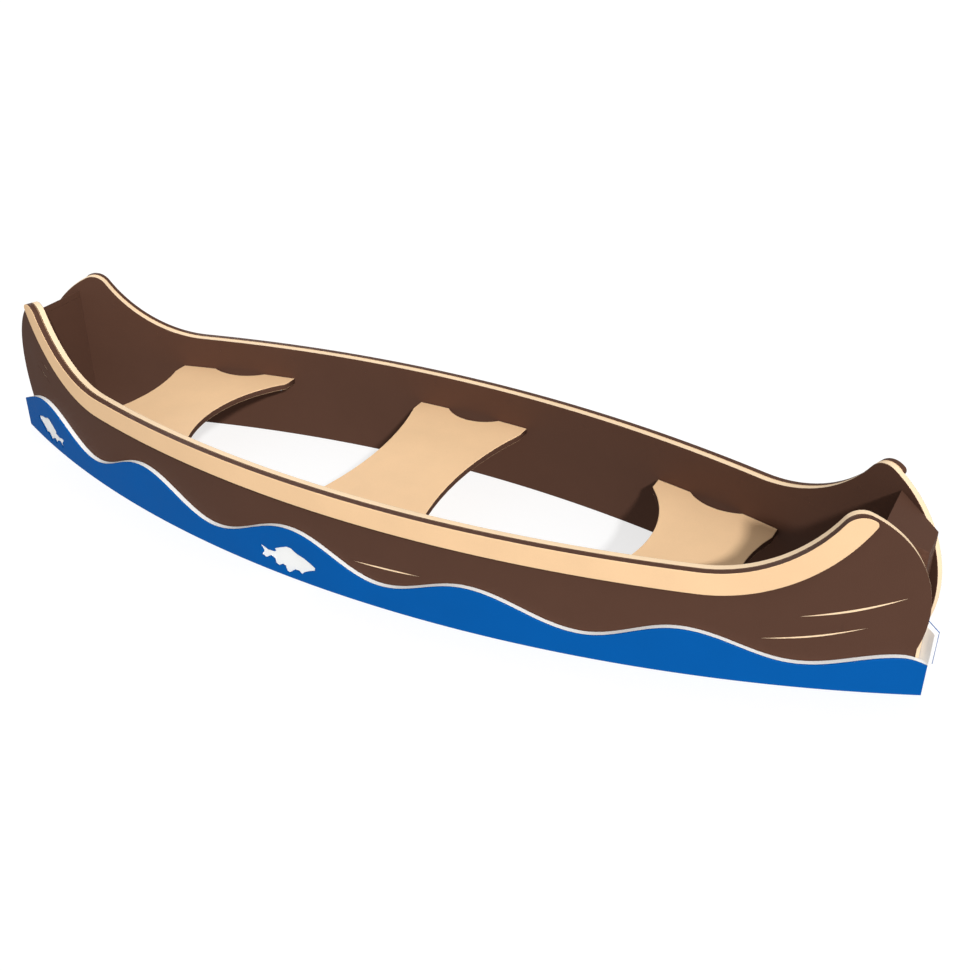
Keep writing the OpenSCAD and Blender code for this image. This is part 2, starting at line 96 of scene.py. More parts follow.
class CanoeSizes(PropertyGroup):
    """Sizes of the canoe, in metres."""

    sheet: length("Sheet", "Thickness of every plastic sheet", 0.019)
    skin: length("Skin", "Thickness of a sheet's coloured skins", 0.0014)
    arris: length("Arris", "Radius rounded on every cut edge", 0.0022)
    half_length: length("Half length", "From the middle to the nose of a side", 1.427)
    half_beam: length("Half beam", "From the middle to a side's outer face", 0.3675)
    tip_half_width: length("Tip half width", "Half width over the sides at the nose", 0.0565)
    sheer: length("Sheer", "Height of the level middle stretch", 0.304)
    crest: length("Crest", "Height of the crest at each end", 0.491)
    crest_back: length("Crest back", "Along the sheet from the nose back to the crest", 0.191)
    sweep_radius: length("Sweep radius", "Radius of the rise towards the crest", 0.370)
    crest_radius: length("Crest radius", "Radius of the crest", 0.047)
    nose: length("Nose", "Height of the foremost point", 0.215)
    foot_back: length("Foot back", "Along the sheet from the nose back to the foot", 0.017)
    rail_height: length("Rail height", "Height of a rub rail", 0.062)
    rail_end_radius: length("Rail end radius", "Radius of a rail's round end", 0.013)
    wave_past: length("Wave past", "How far a wave panel reaches past the nose", 0.019)
    engraving: length("Engraving", "Depth of the lines engraved in the sides", 0.003)
    fish_depth: length("Fish depth", "Depth of the fish cut into the wave panels", 0.006)
    blue_layer: length("Blue layer", "Thickness of the blue layer on the white sheet", 0.0048)
    wave_high: length("Wave high", "Height of the three tall wave crests", 0.1555)
    wave_low: length("Wave low", "Height of the two low wave crests", 0.1325)
    wave_last: length("Wave last", "Height of the last wave crest", 0.1075)
    wave_trough: length("Wave trough", "Height of the wave troughs", 0.069)
    scallop_half: length("Scallop half", "Half length of a seat's finger scallop", 0.087)
    scallop_depth: length("Scallop depth", "Depth of the middle seat's scallops", 0.040)
    end_scallop_depth: length("End scallop depth", "Depth of the other seats' scallops", 0.030)
    middle_waist: length("Middle waist", "Scoop of the middle seat's long edges", 0.044)
    inboard_waist: length("Inboard waist", "Scoop of an end seat's inboard edge", 0.088)
    outboard_waist: length("Outboard waist", "Scoop of an end seat's outboard edge", 0.028)
    tab: length("Tab", "Straight stretch at a seat's corners", 0.045)
    seat_gap: length("Seat gap", "Gap between a seat and the sides", 0.001)
    cap: length("Cap", "Diameter of the caps over the sunk screws", 0.014)
    cap_height: length("Cap height", "Thickness of the caps", 0.004)
    cap_play: length("Cap play", "Play round a cap in its recess", 0.0001)
    cap_arris: length("Cap arris", "Radius rounded on a cap's rim", 0.0005)


class CanoeColours(PropertyGroup):
    """Colours of the sheets, as sRGB hex values."""

    brown: StringProperty(name="Brown", description="Hull and end boxes", default="#583D31")
    beige: StringProperty(name="Beige", description="Rails and seats", default="#F5CDA0")
    cream: StringProperty(name="Cream", description="Core of the brown sheet", default="#FADDB8")
    blue: StringProperty(name="Blue", description="Outside of the wave panels", default="#0058A5")
    white: StringProperty(
        name="White", description="Core and back of the wave panels", default="#FCFCFA"
    )
    zinc: StringProperty(
        name="Zinc", description="Brackets, anchors and screws", default="#B9BCBE"
    )
    floor: StringProperty(name="Floor", description="Plain pale floor", default="#FAFAFA")


class CanoeStage(PropertyGroup):
    """Camera and light."""

    eye: FloatVectorProperty(
        name="Eye",
        description="Place of the camera",
        default=(1.6350, -2.6236, 2.0000),
        subtype="XYZ",
    )
    azimuth: angle("Azimuth", "Turn of the camera", 28.247)
    pitch: angle("Pitch", "Camera's slope below level", 31.119)
    lens: FloatProperty(name="Lens", description="Focal length in millimetres", default=47.077)
    sun: FloatProperty(name="Sun", description="Strength of the main light", default=2.86)
    sun_azimuth: angle("Sun azimuth", "Bearing of the main light", -46)
    sun_height: angle("Sun height", "Elevation of the main light", 34)
    softness: angle("Softness", "Breadth of the main light", 4)
    fill: FloatProperty(name="Fill", description="Strength of the light behind", default=0.8)
    fill_height: angle("Fill height", "Elevation of the light behind", 12)
    fill_softness: angle("Fill softness", "Breadth of the light behind", 20)
    sky: FloatProperty(name="Sky", description="Strength of the even light", default=0.45)


# ---------- hull geometry ----------
def bearing(a, b):
    """Direction from one point to another, in radians."""
    return math.atan2(b[1] - a[1], b[0] - a[0])


class Hull:
    """Plan arc and side outline, worked out from the sizes.

    Flat sheets lie with x along the sheet, y up and z outwards from its outer face."""

    def __init__(self, sizes):
        inward = sizes.half_beam - sizes.tip_half_width
        self.radius = (sizes.half_length**2 + inward**2) / (2 * inward)
        self.inner = self.radius - sizes.sheet
        self.outer = self.radius + sizes.sheet
        self.offset = self.radius - sizes.half_beam
        self.nose = self.along(sizes.half_length)
        self.foot = self.nose - sizes.foot_back
        crest = self.nose - sizes.crest_back
        rise = sizes.crest - sizes.sheer
        reach = sizes.sweep_radius + sizes.crest_radius
        sweep = crest - math.sqrt(2 * rise * reach - rise**2)
        self.sweep = Vector((sweep, sizes.sheer + sizes.sweep_radius))
        self.crest = Vector((crest, sizes.crest - sizes.crest_radius))
        drop = self.crest.y - sizes.nose
        back, small = sizes.crest_back, sizes.crest_radius
        self.bow_radius = (back**2 + drop**2 - small**2) / (2 * (back - small))
        self.bow = Vector((self.nose - self.bow_radius, sizes.nose))

    def along(self, x, radius=None):
        """Distance along the sheet at a place x on a face of that radius."""
        return self.radius * math.asin(x / (radius or self.radius))

    def inner_half(self, x, gap=0.0):
        """Half width between the inner faces at x."""
        return math.sqrt((self.inner - gap) ** 2 - x**2) - self.offset

    def bend(self, bm, face_radius, depth):
        """Bends a flat sheet round the starboard side, noting each point's depth in it."""
        for vert in bm.verts:
            vert[depth] = -vert.co.z
            radius = face_radius + vert.co.z
            turn = vert.co.x / self.radius
            vert.co = (radius * math.sin(turn), self.offset - radius * math.cos(turn), vert.co.y)


# ---------- outlines ----------
def start(bm, point):
    """First point of an outline."""
    return bm.verts.new((*point, 0))


def line_to(bm, vert, *points):
    """Straight edges on from a vertex; returns the last one."""
    for point in points:
        vert = bmesh.ops.extrude_vert_indiv(bm, verts=[vert])["verts"][0]
        vert.co = (*point, 0)
    return vert


def arc_by(bm, vert, centre, turn, step=WIDE_STEP):
    """Spins a vertex round a centre, anticlockwise for a positive turn; returns the last one."""
    steps = max(2, math.ceil(abs(turn) / step))
    spun = bmesh.ops.spin(
        bm, geom=[vert], axis=(0, 0, 1), cent=(*centre, 0), angle=turn, steps=steps
    )
    return next(item for item in spun["geom_last"] if isinstance(item, bmesh.types.BMVert))


def close_outline(bm):
    """Joins the outline's ends and fills it with one upward face."""
    bmesh.ops.remove_doubles(bm, verts=bm.verts[:], dist=MERGE)
    bmesh.ops.contextual_create(bm, geom=bm.edges[:])
    bm.normal_update()
    for face in bm.faces:
        if face.normal.z < 0:
            face.normal_flip()


def mirror_outline(bm, axis="X"):
    """Completes an outline that was drawn on one side of an axis."""
    bmesh.ops.mirror(bm, geom=bm.verts[:] + bm.edges[:], merge_dist=MERGE, axis=axis)


def rim_edges(bm):
    """Sharp edges where a board's flat faces meet its cut edge."""
    found = []
    for edge in bm.edges:
        flat = [abs(face.normal.z) > RIM_SLOPE for face in edge.link_faces]
        if len(flat) == 2 and flat[0] != flat[1]:
            found.append(edge)
    return found


def round_edges(bm, edges, radius):
    """Rounds edges with a small radius."""
    bmesh.ops.bevel(
        bm,
        geom=edges,
        offset=radius,
        offset_type="OFFSET",
        segments=3,
        profile=0.5,
        affect="EDGES",
        clamp_overlap=True,
        material=-1,
    )


def thicken(bm, depth, arris):
    """Extrudes an upward face into a board that hangs down to -depth, and rounds its rim."""
    made = bmesh.ops.extrude_face_region(bm, geom=bm.faces[:])
    raised = {item for item in made["geom"] if isinstance(item, bmesh.types.BMVert)}
    lowered = [vert for vert in bm.verts if vert not in raised]
    bmesh.ops.translate(bm, verts=lowered, vec=(0, 0, -depth))
    bmesh.ops.recalc_face_normals(bm, faces=bm.faces[:])
    bm.normal_update()
    if arris:
        round_edges(bm, rim_edges(bm), arris)


def mesh_of(bm, name):
    """A mesh from a bmesh, which is then freed."""
    mesh = bpy.data.meshes.new(name)
    bm.to_mesh(mesh)
    bm.free()
    return mesh


def carve(bm, cutter):
    """Cuts one closed shape out of another; the cutter is freed."""
    shapes = {"board": bm.copy(), "cutter": cutter}
    pair = [bpy.data.objects.new(name, mesh_of(made, name)) for name, made in shapes.items()]
    for item in pair:
        bpy.context.scene.collection.objects.link(item)
    cut = pair[0].modifiers.new("carve", "BOOLEAN")
    cut.operation = "DIFFERENCE"
    cut.solver = "EXACT"
    cut.object = pair[1]
    evaluated = pair[0].evaluated_get(bpy.context.evaluated_depsgraph_get())
    carved = bpy.data.meshes.new_from_object(evaluated)
    bm.clear()
    bm.from_mesh(carved)
    for item in pair:
        bpy.data.meshes.remove(item.data)
    bpy.data.meshes.remove(carved)
    bm.normal_update()


def slice_along(bm, step=0.024):
    """Cuts a flat sheet across at even steps, so that it can bend."""
    reach = max(vert.co.x for vert in bm.verts)
    low = min(vert.co.x for vert in bm.verts)
    for k in range(math.ceil(low / step), math.floor(reach / step) + 1):
        geom = bm.verts[:] + bm.edges[:] + bm.faces[:]
        plane = (k * step, 0, 0)
        bmesh.ops.bisect_plane(bm, geom=geom, dist=SNAP, plane_co=plane, plane_no=(1, 0, 0))


def mark_cut_faces(bm):
    """Notes which faces were cut by the router and which are its rounded arris."""
    cut = bm.faces.layers.float.new("cut")
    for face in bm.faces:
        slope = abs(face.normal.z)
        face[cut] = SKIN if slope > FLAT_SLOPE else CUT_EDGE if slope < EDGE_SLOPE else ARRIS


def depth_layer(bm):
    """The attribute that holds each point's depth below the sheet's outer face."""
    return bm.verts.layers.float.get("depth") or bm.verts.layers.float.new("depth")


def finish_piece(bm, name, material, slot, *nodes):
    """Turns a bmesh into a shown piece that stands for CAD nodes."""
    mesh = mesh_of(bm, name)
    mesh.shade_smooth()
    mesh.materials.append(material)
    piece = bpy.data.objects.new(name, mesh)
    bpy.context.scene.collection.objects.link(piece)
    evened = piece.modifiers.new("even shading", "WEIGHTED_NORMAL")
    evened.mode = "FACE_AREA_WITH_ANGLE"
    evened.weight = 60
    evened.keep_sharp = False
    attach(piece, BODY)
    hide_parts(*nodes)
    return piece


def both_sides(bm, what, material, slot):
    """Makes the starboard piece and its twin turned end for end."""
    twin = bm.copy()
    bmesh.ops.transform(twin, matrix=HALF_TURN, verts=twin.verts[:])
    finish_piece(bm, f"starboard_{what}_sheet", material, slot, f"starboard_{what}")
    finish_piece(twin, f"port_{what}_sheet", material, slot, f"port_{what}")


def prism(bm, points, low, high):
    """Adds a closed prism over a flat outline to a bmesh of cutters."""
    made = bmesh.new()
    last = line_to(made, start(made, points[0]), *points[1:])
    made.verts.ensure_lookup_table()
    made.edges.new((last, made.verts[0]))
    close_outline(made)
    thicken(made, high - low, 0)
    bmesh.ops.translate(made, verts=made.verts[:], vec=(0, 0, high))
    join(bm, made)


def join(bm, other):
    """Adds another bmesh's geometry to this one; the other is freed."""
    mesh = mesh_of(other, "part")
    bm.from_mesh(mesh)
    bpy.data.meshes.remove(mesh)


def disc(bm, centre, radius, low, high):
    """Adds a closed upright cylinder."""
    place = Matrix.Translation((*centre, (low + high) / 2))
    bmesh.ops.create_cone(
        bm,
        cap_ends=True,
        segments=64,
        radius1=radius,
        radius2=radius,
        depth=high - low,
        matrix=place,
    )


# ---------- materials ----------
def linear(colour):
    """Linear RGBA from an sRGB hex value."""
    parts = [int(colour[i : i + 2], 16) / 255 for i in (1, 3, 5)]
    return [c / 12.92 if c <= 0.04045 else ((c + 0.055) / 1.055) ** 2.4 for c in parts] + [1.0]


def add_node(tree, kind, settings=None, inputs=None):
    """Adds a shader node; an input given as a node or socket is linked, any other is set."""
    node = tree.nodes.new(f"ShaderNode{kind}")
    for name, value in (settings or {}).items():
        setattr(node, name, value)
    for name, value in (inputs or {}).items():
        if isinstance(value, bpy.types.Node):
            value = value.outputs[0]
        if isinstance(value, bpy.types.NodeSocket):
            tree.links.new(value, node.inputs[name])
        else:
            node.inputs[name].default_value = value
    return node


def new_material(name):
    """A material with an empty node tree."""
    material = bpy.data.materials.new(name)
    material.use_nodes = True
    material.node_tree.nodes.clear()
    return material, material.node_tree


def cover(tree, inputs):
    """Shades the surface with these inputs of the shader."""
    shader = add_node(tree, "BsdfPrincipled", inputs=inputs)
    add_node(tree, "OutputMaterial", inputs={"Surface": shader})


def spread(value, low, high, least, most):
    """Inputs that stretch a value from low..high to least..most."""
    return {"Value": value, "From Min": low, "From Max": high, "To Min": least, "To Max": most}


def pattern_scale(millimetres):
    """Texture scale of a pattern of that size."""
    return 1000 / millimetres


def sheet_plastic(name, face, core, back, sheet, skin, outer=None):
    """Three-layer polyethylene sheet: a skin on each side of a core that shows where it is cut.

    The pressed skins are matt with an orange-peel grain, and edges cut by the router are a
    little rougher, with a paler arris."""
    material, tree = new_material(name)
    coordinates = add_node(tree, "TexCoord").outputs["Object"]
    depth = add_node(tree, "Attribute", {"attribute_name": "depth"}).outputs["Fac"]
    cut = add_node(tree, "Attribute", {"attribute_name": "cut"}).outputs["Fac"]

    # The skin's inner boundary wanders by about a tenth of a millimetre
    wander = add_node(
        tree,
        "TexNoise",
        inputs={"Vector": coordinates, "Scale": pattern_scale(16.67), "Detail": 1.0},
    )
    stray = add_node(tree, "Math", {"operation": "MULTIPLY"}, {0: wander, 1: 0.0002})
    level = add_node(tree, "Math", {"operation": "ADD"}, {0: depth, 1: stray})
    below = add_node(tree, "Math", {"operation": "GREATER_THAN"}, {0: level, 1: outer or skin})
    above = add_node(tree, "Math", {"operation": "LESS_THAN"}, {0: level, 1: sheet - skin})
    inside = add_node(tree, "Math", {"operation": "MULTIPLY"}, {0: below, 1: above})
    rear = add_node(tree, "Math", {"operation": "GREATER_THAN"}, {0: depth, 1: sheet / 2})
    # A colour mix has its colours at inputs 6 and 7 and its result at output 2
    mix = {"data_type": "RGBA"}
    skins = add_node(tree, "Mix", mix, {0: rear, 6: linear(face), 7: linear(back)}).outputs[2]
    colour = add_node(tree, "Mix", mix, {0: inside, 6: skins, 7: linear(core)}).outputs[2]

    # Pigment drifts slowly over hand's breadths
    drift = add_node(
        tree,
        "TexNoise",
        inputs={
            "Vector": coordinates,
            "Scale": pattern_scale(200),
            "Detail": 3.0,
            "Roughness": 0.6,
        },
    )
    shade = add_node(tree, "MapRange", inputs=spread(drift, 0.3, 0.7, 0.965, 1.03))
    # The 1 mm grain is too fine to show, so it is drawn 3 mm coarse
    grain = add_node(
        tree,
        "TexNoise",
        inputs={
            "Vector": coordinates,
            "Scale": pattern_scale(3.03),
            "Detail": 2.0,
            "Roughness": 0.55,
        },
    )
    speckle = add_node(tree, "MapRange", inputs=spread(grain, 0.3, 0.7, 0.985, 1.015))
    tone = add_node(tree, "Math", {"operation": "MULTIPLY"}, {0: shade, 1: speckle})
    # Handling pales the arris in patches as wide as a finger grip
    patches = add_node(
        tree,
        "TexNoise",
        inputs={
            "Vector": coordinates,
            "Scale": pattern_scale(35.71),
            "Detail": 4.0,
            "Roughness": 0.7,
        },
    )
    worn = add_node(tree, "MapRange", inputs=spread(patches, 0.5, 0.62, 0.0, 0.14))
    arris = add_node(tree, "Math", {"operation": "COMPARE"}, {0: cut, 1: ARRIS, 2: 0.1})
    pale = add_node(tree, "Math", {"operation": "MULTIPLY"}, {0: arris, 1: worn})
    tone = add_node(tree, "Math", {"operation": "ADD"}, {0: tone, 1: pale})
    toned = add_node(tree, "VectorMath", {"operation": "SCALE"}, {0: colour, "Scale": tone})

    # Matt pressed skin; the router leaves the cut edge a little rougher
    matt = add_node(tree, "MapRange", inputs=spread(drift, 0.25, 0.75, 0.47, 0.58))
    routed = add_node(tree, "Math", {"operation": "MULTIPLY"}, {0: cut, 1: 0.08})
    roughness = add_node(tree, "Math", {"operation": "ADD"}, {0: matt, 1: routed})
    bump = add_node(
        tree, "Bump", inputs={"Height": grain, "Strength": 0.35, "Distance": 0.0006}
    )
    # Polyethylene's index; its fine grain scatters most of the gloss
    cover(
        tree,
        {
            "Base Color": toned,
            "Roughness": roughness,
            "Normal": bump,
            "IOR": 1.5,
            "Specular IOR Level": 0.06,
        },
    )
    return material


def zinc_plate(name, colour):
    """Bright zinc on pressed steel: a cool grey metal, faintly spangled, softly shining."""
    material, tree = new_material(name)
    coordinates = add_node(tree, "TexCoord").outputs["Object"]
    # Zinc crystals about 6 mm across
    spangle = add_node(
        tree, "TexVoronoi", inputs={"Vector": coordinates, "Scale": pattern_scale(6.06)}
    )
    tint = add_node(
        tree, "MapRange", inputs=spread(spangle.outputs["Color"], 0.0, 1.0, 0.86, 1.04)
    )
    toned = add_node(
        tree, "VectorMath", {"operation": "SCALE"}, {0: linear(colour)[:3], "Scale": tint}
    )
    # The passivated film is uneven over a thumb's breadth
    film = add_node(
        tree,
        "TexNoise",
        inputs={"Vector": coordinates, "Scale": pattern_scale(25), "Detail": 3.0},
    )
    rough = add_node(tree, "MapRange", inputs=spread(film, 0.3, 0.7, 0.3, 0.48))
    cover(tree, {"Base Color": toned, "Roughness": rough, "Metallic": 1.0})
    return material


def floor_paint(name, colour):
    """Matt pale floor paint, partly lit from within so that it stays even."""
    material, tree = new_material(name)
    pale = linear(colour)
    cover(
        tree,
        {
            "Base Color": [part * 0.35 for part in pale[:3]] + [1.0],
            "Roughness": 0.9,
            "Specular IOR Level": 0.0,
            "Emission Color": pale,
            "Emission Strength": 0.75,
        },
    )
    return material


def white_cloth(name):
    """Evenly lit white cloth, without shade."""
    material, tree = new_material(name)
    cover(
        tree,
        {
            "Base Color": (0, 0, 0, 1),
            "Specular IOR Level": 0.0,
            "Emission Color": (1, 1, 1, 1),
            "Emission Strength": 1.0,
        },
    )
    return material


def brown_sheet(context, core=True):
    """Brown sheet, cream inside where it is cut, or brown right through for the end boxes."""
    sizes, colours = context.scene.canoe_sizes, context.scene.canoe_colours
    name = "brown_polyethylene_sheet" if core else "solid_brown_polyethylene"
    inside = colours.cream if core else colours.brown
    return bpy.data.materials.get(name) or sheet_plastic(
        name, colours.brown, inside, colours.brown, sizes.sheet, sizes.skin
    )


def beige_sheet(context):
    """Beige sheet, brown inside where it is cut."""
    sizes, colours = context.scene.canoe_sizes, context.scene.canoe_colours
    name = "beige_polyethylene_sheet"
    return bpy.data.materials.get(name) or sheet_plastic(
        name, colours.beige, colours.brown, colours.beige, sizes.sheet, sizes.skin
    )


def blue_sheet(context):
    """Blue layer on white sheet."""
    sizes, colours = context.scene.canoe_sizes, context.scene.canoe_colours
    name = "blue_polyethylene_sheet"
    return bpy.data.materials.get(name) or sheet_plastic(
        name,
        colours.blue,
        colours.white,
        colours.white,
        sizes.sheet,
        sizes.skin,
        sizes.blue_layer,
    )


# ---------- engraved shapes ----------
def stroke(begin, end, bow, width, steps=24):
    """Outline of a slender bowed line that tapers to both ends."""
    run = Vector(end) - Vector(begin)
    across = Vector((-run.y, run.x)).normalized()

    def at(k, rise):
        """Point of the line after k steps, raised in proportion to the bow there"""
        return Vector(begin) + run * k / steps + across * rise * math.sin(math.pi * k / steps)

    upper = [at(k, bow + width / 2) for k in range(steps + 1)]
    lower = [at(k, bow - width / 2) for k in range(1, steps)]
    return upper + lower[::-1]


# Engraved lines: begin, end, bow and width, along and up the sheet
LINES = (
    ((1.165, 0.194), (1.427, 0.274), -0.009, 0.007),
    ((1.080, 0.121), (1.350, 0.183), -0.009, 0.006),
    ((0.019, 0.111), (0.240, 0.122), -0.001, 0.006),
    ((-1.315, 0.290), (-1.252, 0.260), 0.002, 0.004),
    ((-1.352, 0.264), (-1.260, 0.221), 0.003, 0.004),
)
# Outline of a fish about its middle, in millimetres
FISH = (
    (94, 4), (92, -7), (72, -15), (54, -25), (44, -34), (36, -27), (22, -27), (2, -44),
    (-6, -42), (-10, -27), (-20, -24), (-34, -33), (-43, -29), (-46, -15), (-60, -10),
    (-78, -22), (-91, -17), (-82, -2), (-94, 15), (-86, 18), (-64, 10), (-40, 12),
    (-44, 20), (-22, 31), (2, 42), (16, 42), (36, 30), (58, 24), (78, 14),
)
# Each fish's middle, tilt and size; a negative size faces it the other way
SHOAL = (((-0.175, 0.0575), 0, 1), ((-1.291, 0.058), math.radians(-9), -0.95))
# Crests and troughs of the wave from stern to bow
SWELL = (
    (-2.000, "trough"), (-1.600, "trough"), (-1.302, "high"), (-1.015, "trough"),
    (-0.735, "high"), (-0.450, "trough"), (-0.165, "high"), (0.115, "trough"),
    (0.365, "low"), (0.660, "trough"), (0.905, "low"), (1.190, "trough"),
    (1.424, "last"), (1.548, "trough"), (2.000, "trough"),
)


def swell_height(sizes, s):
    """Height of the wave panel's top edge at a distance along the sheet."""
    for (s0, first), (s1, second) in zip(SWELL, SWELL[1:]):
        if s0 <= s <= s1:
            z0, z1 = getattr(sizes, f"wave_{first}"), getattr(sizes, f"wave_{second}")
            return z0 + (z1 - z0) * (1 - math.cos(math.pi * (s - s0) / (s1 - s0))) / 2
    raise ValueError(f"the wave has no height at {s}")


# ---------- operators ----------
def half_side_top(bm, hull, sizes, bow_turn_end):
    """Top edge from the middle to a given bearing on the bow arc; returns the last vertex."""
    sweep_end = bearing(hull.sweep, hull.crest)
    crest_end = bearing(hull.bow, hull.crest)
    vert = line_to(bm, start(bm, (0, sizes.sheer)), (hull.sweep.x, sizes.sheer))
    vert = arc_by(bm, vert, hull.sweep, sweep_end + math.pi / 2)
    vert = arc_by(bm, vert, hull.crest, crest_end - (sweep_end + math.pi), SMALL_STEP)
    return arc_by(bm, vert, hull.bow, bow_turn_end - crest_end)


def rail_screw_places(hull, sizes):
    """Places of the sunk screws behind a rail."""
    spacing = 0.27 * hull.sweep.x
    middle = sizes.sheer - sizes.rail_height / 2
    places = [((k + 0.5) * spacing, middle) for k in range(4)]
    radius = sizes.sweep_radius + sizes.rail_height / 2
    # Two more on the sweep, at these bearings from its centre
    for degrees in (-68, -44):
        turn = math.radians(degrees)
        places.append(tuple(hull.sweep + radius * Vector((math.cos(turn), math.sin(turn)))))
    return [(end * s, z) for end in (1, -1) for s, z in places]


def wave_screw_places():
    """Places of the sunk screws behind a wave panel."""
    spacing, height = 0.4, 0.045
    return [(k * spacing, height) for k in range(-3, 4)]


class CANOE_OT_sides(Operator):
    """Bent hull sides with engraved lines and recesses for the screw caps"""

    bl_idname = "canoe.sides"
    bl_label = "Hull sides"

    def execute(self, context):
        sizes = context.scene.canoe_sizes
        hull = Hull(sizes)
        bm = bmesh.new()
        foot_turn = -math.acos((hull.foot - hull.bow.x) / hull.bow_radius)
        vert = half_side_top(bm, hull, sizes, foot_turn)
        line_to(bm, vert, (hull.foot, 0), (0, 0))
        mirror_outline(bm)
        close_outline(bm)
        thicken(bm, sizes.sheet, sizes.arris)
        cutter = bmesh.new()
        for line in LINES:
            prism(cutter, stroke(*line), -sizes.engraving, CLEAR)
        inner = -sizes.sheet
        recess = sizes.cap / 2 + sizes.cap_play
        for place in rail_screw_places(hull, sizes) + wave_screw_places():
            disc(cutter, place, recess, inner - CLEAR, inner + sizes.cap_height)
        carve(bm, cutter)
        mark_cut_faces(bm)
        slice_along(bm)
        hull.bend(bm, hull.radius, depth_layer(bm))
        both_sides(bm, "side", brown_sheet(context), "brown_sheet")
        self.plugs(context, hull, "rail_screw_caps", rail_screw_places(hull, sizes))
        self.plugs(context, hull, "wave_screw_caps", wave_screw_places())
        return {"FINISHED"}

    def plugs(self, context, hull, node, places):
        """Flush plugs with a rounded rim over the sunk screws of both sides"""
        sizes = context.scene.canoe_sizes
        inner = -sizes.sheet
        middle = inner + sizes.cap_height / 2
        bm = bmesh.new()
        for place in places:
            disc(bm, place, sizes.cap / 2, inner, inner + sizes.cap_height)
        rims = [edge for edge in rim_edges(bm) if edge.verts[0].co.z < middle]
        round_edges(bm, rims, sizes.cap_arris)
        mark_cut_faces(bm)
        hull.bend(bm, hull.radius, depth_layer(bm))
        twin = bm.copy()
        bmesh.ops.transform(twin, matrix=HALF_TURN, verts=twin.verts[:])
        join(bm, twin)
        material = brown_sheet(context, core=False)
        finish_piece(bm, f"{node}_plugs", material, "brown_sheet", node)


class CANOE_OT_rails(Operator):
    """Rub rails that follow the top edge and close in a round end"""

    bl_idname = "canoe.rails"
    bl_label = "Rub rails"

    def execute(self, context):
        sizes = context.scene.canoe_sizes
        hull = Hull(sizes)
        under_radius = sizes.sweep_radius + sizes.rail_height
        end_centre = rail_end_centre(hull, sizes)
        top = bearing(hull.bow, end_centre)
        under = bearing(hull.sweep, end_centre)
        bm = bmesh.new()
        vert = half_side_top(bm, hull, sizes, top)
        vert = arc_by(bm, vert, end_centre, under - top, math.radians(8))
        vert = arc_by(bm, vert, hull.sweep, -math.pi / 2 - under)
        line_to(bm, vert, (0, sizes.sheer + sizes.sweep_radius - under_radius))
        mirror_outline(bm)
        close_outline(bm)
        thicken(bm, sizes.sheet, sizes.arris)
        mark_cut_faces(bm)
        slice_along(bm)
        hull.bend(bm, hull.outer, depth_layer(bm))
        both_sides(bm, "rail", beige_sheet(context), "beige_sheet")
        return {"FINISHED"}


def rail_end_centre(hull, sizes):
    """Centre of a rail's round end, which touches the bow arc and the rail's lower arc."""
    ra = hull.bow_radius - sizes.rail_end_radius
    rb = sizes.sweep_radius + sizes.rail_height - sizes.rail_end_radius
    gap = hull.sweep - hull.bow
    along = (ra**2 - rb**2 + gap.length_squared) / (2 * gap.length)
    off = math.sqrt(ra**2 - along**2)
    way = gap.normalized()
    return hull.bow + along * way + off * Vector((way.y, -way.x))


class CANOE_OT_waves(Operator):
    """Wave panels, blue outside and white behind, with engraved fish"""

    bl_idname = "canoe.waves"
    bl_label = "Wave panels"

    def execute(self, context):
        sizes = context.scene.canoe_sizes
        hull = Hull(sizes)
        reach = hull.along(sizes.half_length + sizes.wave_past, hull.outer)
        steps = 240
        crest = [(k / steps - 0.5) * 2 * reach for k in range(steps + 1)]
        bm = bmesh.new()
        first = start(bm, (-reach, 0))
        last = line_to(bm, first, *[(s, swell_height(sizes, s)) for s in crest], (reach, 0))
        bm.edges.new((last, first))
        close_outline(bm)
        thicken(bm, sizes.sheet, sizes.arris)
        cutter = bmesh.new()
        for middle, tilt, size in SHOAL:
            turn = Matrix.Rotation(tilt, 2)
            grown = [turn @ Vector((x * size, y * abs(size))) / 1000 for x, y in FISH]
            fish = [Vector(middle) + point for point in grown]
            prism(cutter, fish if size > 0 else fish[::-1], -sizes.fish_depth, CLEAR)
        carve(bm, cutter)
        mark_cut_faces(bm)
        slice_along(bm)
        hull.bend(bm, hull.outer, depth_layer(bm))
        both_sides(bm, "wave", blue_sheet(context), "blue_sheet")
        return {"FINISHED"}


